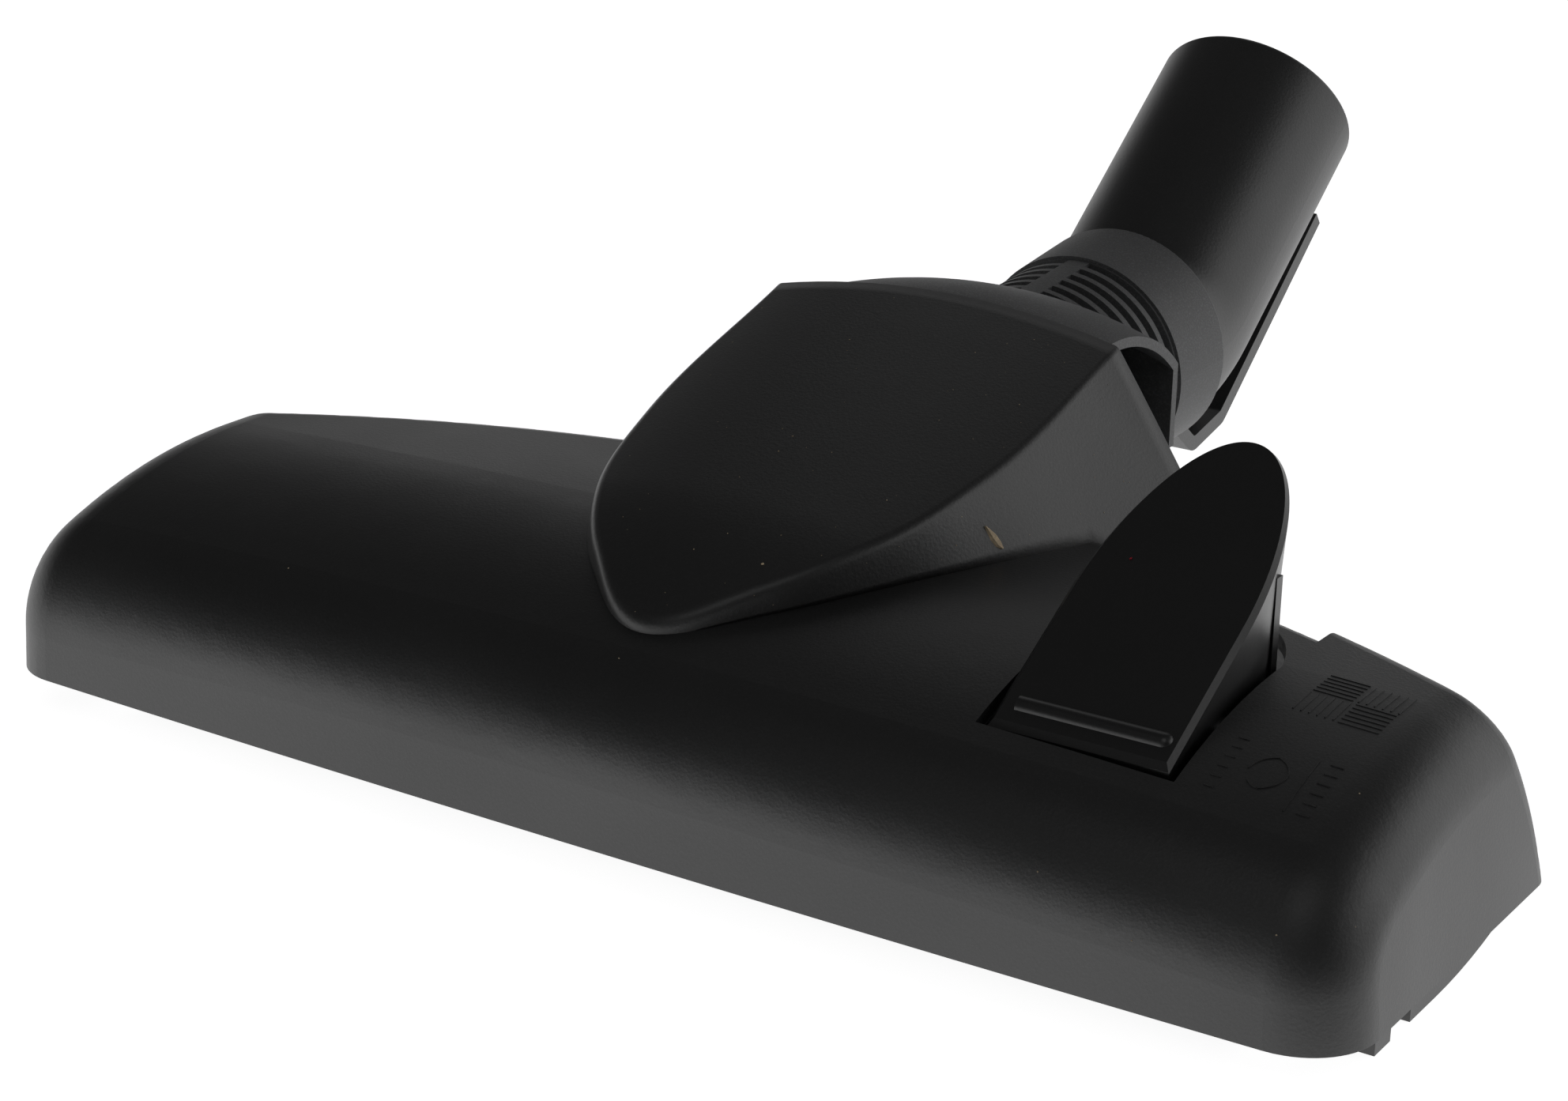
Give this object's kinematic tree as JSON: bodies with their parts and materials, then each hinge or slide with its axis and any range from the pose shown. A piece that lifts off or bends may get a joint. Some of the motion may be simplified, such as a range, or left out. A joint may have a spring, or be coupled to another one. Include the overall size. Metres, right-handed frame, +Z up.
{
  "type": "vacuum floor brush head",
  "caption": "Wide black floor head for a vacuum cleaner: domed hood, tilting neck, swivel elbow with a plain tube socket, parking hook, and a pedal that lowers the brushes.",
  "frame": {"origin": "on the floor under the middle of the hood, on the sole's flat land", "axes": "+X along the hood to its right end, +Y from the hood's front to the tube, +Z up"},
  "size_m": [0.253, 0.2447, 0.1004],
  "materials": {
    "shell_plastic": "black moulded plastic, fine spark-eroded texture",
    "sole_plastic": "dark grey moulded plastic, smooth",
    "pedal_plastic": "black moulded plastic, satin",
    "ring_plastic": "grey acetal, smooth",
    "wheel_plastic": "black plastic, smooth",
    "felt": "dark felt",
    "lifter_fabric": "short napped fabric",
    "bristle": "dark bristle tufts",
    "soft_rubber": "black soft rubber",
    "steel": "bright steel"
  },
  "bodies": {
    "base": {"hood": "shell_plastic", "joint_cover": "shell_plastic", "sole_plate": "sole_plastic", "bearing_cap_left": "sole_plastic", "bearing_cap_right": "sole_plastic", "drum_seal": "felt", "cap_screws": "steel", "sole_screws": "steel", "pedal_axle": "steel", "detent_spring": "steel", "lift_spring_left": "steel", "lift_spring_right": "steel", "thread_lifter_left": "lifter_fabric", "thread_lifter_right": "lifter_fabric", "wheel_axle_left": "steel", "wheel_axle_right": "steel"},
    "neck_body": {"neck": "shell_plastic", "rear_shell": "shell_plastic"},
    "elbow_body": {"elbow_tube": "shell_plastic", "parking_hook": "shell_plastic", "retaining_ring": "ring_plastic", "seal_ring": "soft_rubber"},
    "pedal_body": {"pedal": "pedal_plastic"},
    "brush_body": {"brush_frame": "sole_plastic", "bristle_strip_front": "bristle", "bristle_strip_rear": "bristle", "rubber_lip": "soft_rubber"},
    "wheel_left_body": {"rear_wheel_left": "wheel_plastic"},
    "wheel_right_body": {"rear_wheel_right": "wheel_plastic"}
  },
  "joints": [
    {"name": "neck_tilt", "type": "hinge", "parent": "base", "child": "neck_body", "pos_m": [0, 0.073, 0.0315], "axis": [1, 0, 0], "range_deg": [-10, 41]},
    {"name": "elbow_swivel", "type": "hinge", "parent": "neck_body", "child": "elbow_body", "pos_m": [0, 0.13325, 0.0489], "axis": [0, 0.9962, 0.0872], "continuous": true},
    {"name": "pedal_rock", "type": "hinge", "parent": "base", "child": "pedal_body", "pos_m": [0.0755, -0.00535, 0.03673], "axis": [1, 0, 0], "range_deg": [-18, 0]},
    {"name": "brush_lift", "type": "slide", "parent": "base", "child": "brush_body", "axis": [0, 0, 1], "range_m": [-0.0052, 0], "deforming": ["lift_spring_left", "lift_spring_right"]},
    {"name": "wheel_left_spin", "type": "hinge", "parent": "base", "child": "wheel_left_body", "pos_m": [-0.041, 0.07, 0.01], "axis": [1, 0, 0], "continuous": true},
    {"name": "wheel_right_spin", "type": "hinge", "parent": "base", "child": "wheel_right_body", "pos_m": [0.041, 0.07, 0.01], "axis": [1, 0, 0], "continuous": true}
  ],
  "couplings": [
    {"joint": "brush_lift", "follows": "pedal_rock", "m_per_rad": 0.016552}
  ]
}
